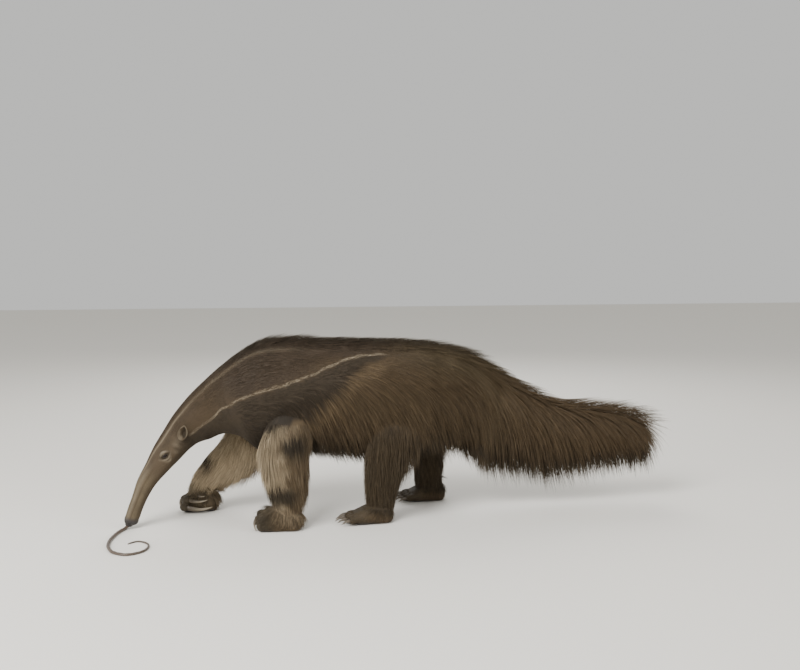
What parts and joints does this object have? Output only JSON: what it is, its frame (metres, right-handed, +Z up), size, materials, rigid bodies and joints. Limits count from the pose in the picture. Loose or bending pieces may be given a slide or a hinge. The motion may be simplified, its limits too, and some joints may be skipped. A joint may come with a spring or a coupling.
{
  "type": "giant anteater",
  "caption": "Giant anteater walking with its long snout low and its tongue on the ground, with a bushy tail, striped shoulders, pale forelegs and shaggy dark coat.",
  "frame": {"origin": "on the floor, under the middle of the animal's box", "axes": "+X towards the tail, so the head points to -X; +Y to the animal's right side; +Z up"},
  "size_m": [1.8202, 0.5268, 0.6025],
  "materials": {
    "claw": "worn horn, slightly glossy",
    "dark_coat": "long coarse hair, matt",
    "eye": "wet, glossy",
    "face": "short dense hair, matt",
    "neck": "hair, matt",
    "pale_coat": "long coarse hair, matt",
    "paw": "bare pads and short hair, matt",
    "tongue": "moist"
  },
  "bodies": {
    "root": {"claw_fore_left_1": "claw", "claw_fore_left_2": "claw", "claw_fore_left_3": "claw", "claw_fore_left_4": "claw", "claw_fore_right_1": "claw", "claw_fore_right_2": "claw", "claw_fore_right_3": "claw", "claw_fore_right_4": "claw", "claw_hind_left_1": "claw", "claw_hind_left_2": "claw", "claw_hind_left_3": "claw", "claw_hind_left_4": "claw", "claw_hind_left_5": "claw", "claw_hind_right_1": "claw", "claw_hind_right_2": "claw", "claw_hind_right_3": "claw", "claw_hind_right_4": "claw", "claw_hind_right_5": "claw", "ear_left": "face", "ear_right": "face", "eye_left": "eye", "eye_right": "eye", "foreleg_left": "pale_coat", "foreleg_right": "pale_coat", "forepaw_left": "paw", "forepaw_right": "paw", "head": "face", "hindleg_left": "dark_coat", "hindleg_right": "dark_coat", "hindpaw_left": "paw", "hindpaw_right": "paw", "neck": "neck", "tail": "dark_coat", "tongue_curl": "tongue", "tongue_drop": "tongue", "torso": "dark_coat"}
  },
  "joints": []
}
